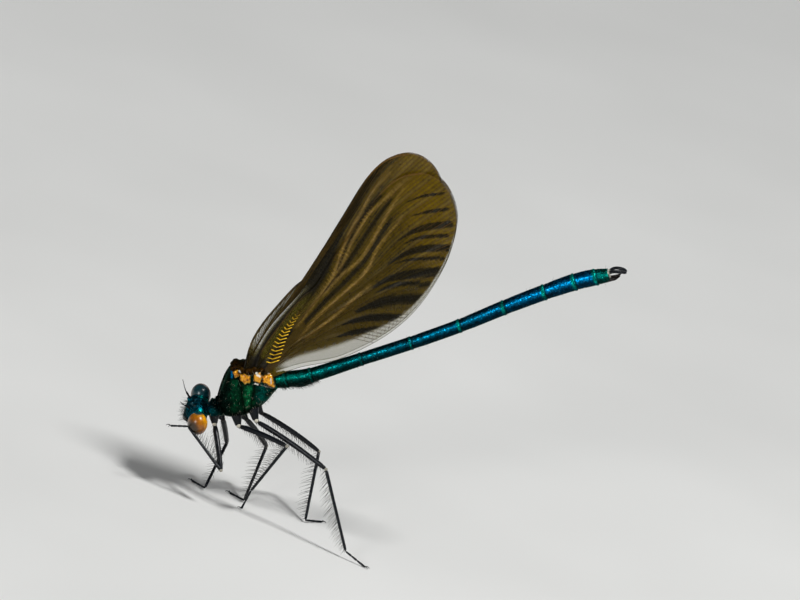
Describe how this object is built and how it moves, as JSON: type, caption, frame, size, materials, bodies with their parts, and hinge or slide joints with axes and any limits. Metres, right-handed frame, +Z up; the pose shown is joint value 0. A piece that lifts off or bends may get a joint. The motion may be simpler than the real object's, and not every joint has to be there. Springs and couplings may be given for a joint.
{
  "type": "damselfly",
  "caption": "Life-size still model of a male demoiselle damselfly: metallic green-blue body, dark folded wings, standing on the floor with a foreleg raised to its face",
  "frame": {"origin": "centre of the bounding box's bottom, on the floor the feet stand on", "axes": "+Z up, the head points to -X and the tail to +X, the insect's left side is -Y"},
  "size_m": [0.0414, 0.0142, 0.0427],
  "materials": {
    "head_shell": "metallic teal",
    "eyes": "glossy orange-brown",
    "thorax_shell": "metallic green, finely granular",
    "abdomen_shell": "metallic teal to blue",
    "wing_membrane": "translucent dark brown",
    "clasper_black": "glossy black",
    "leg_black": "black with a bluish sheen"
  },
  "bodies": {
    "root": {"head": "head_shell", "eye_left": "eyes", "eye_right": "eyes", "antenna_left": "leg_black", "antenna_right": "leg_black", "prothorax": "thorax_shell", "synthorax": "thorax_shell", "forewing_left": "wing_membrane", "forewing_right": "wing_membrane", "hindwing_left": "wing_membrane", "hindwing_right": "wing_membrane", "abdomen_s1": "abdomen_shell", "abdomen_s2": "abdomen_shell", "abdomen_s3": "abdomen_shell", "abdomen_s4": "abdomen_shell", "abdomen_s5": "abdomen_shell", "abdomen_s6": "abdomen_shell", "abdomen_s7": "abdomen_shell", "abdomen_s8": "abdomen_shell", "abdomen_s9": "abdomen_shell", "abdomen_s10": "abdomen_shell", "cercus_left": "clasper_black", "cercus_right": "clasper_black", "paraproct_left": "clasper_black", "paraproct_right": "clasper_black", "fore_left_coxa": "leg_black", "fore_left_femur": "leg_black", "fore_left_tibia": "leg_black", "fore_left_tarsus": "leg_black", "fore_right_coxa": "leg_black", "fore_right_femur": "leg_black", "fore_right_tibia": "leg_black", "fore_right_tarsus": "leg_black", "mid_left_coxa": "leg_black", "mid_left_femur": "leg_black", "mid_left_tibia": "leg_black", "mid_left_tarsus": "leg_black", "mid_right_coxa": "leg_black", "mid_right_femur": "leg_black", "mid_right_tibia": "leg_black", "mid_right_tarsus": "leg_black", "hind_left_coxa": "leg_black", "hind_left_femur": "leg_black", "hind_left_tibia": "leg_black", "hind_left_tarsus": "leg_black", "hind_right_coxa": "leg_black", "hind_right_femur": "leg_black", "hind_right_tibia": "leg_black", "hind_right_tarsus": "leg_black"}
  },
  "joints": []
}
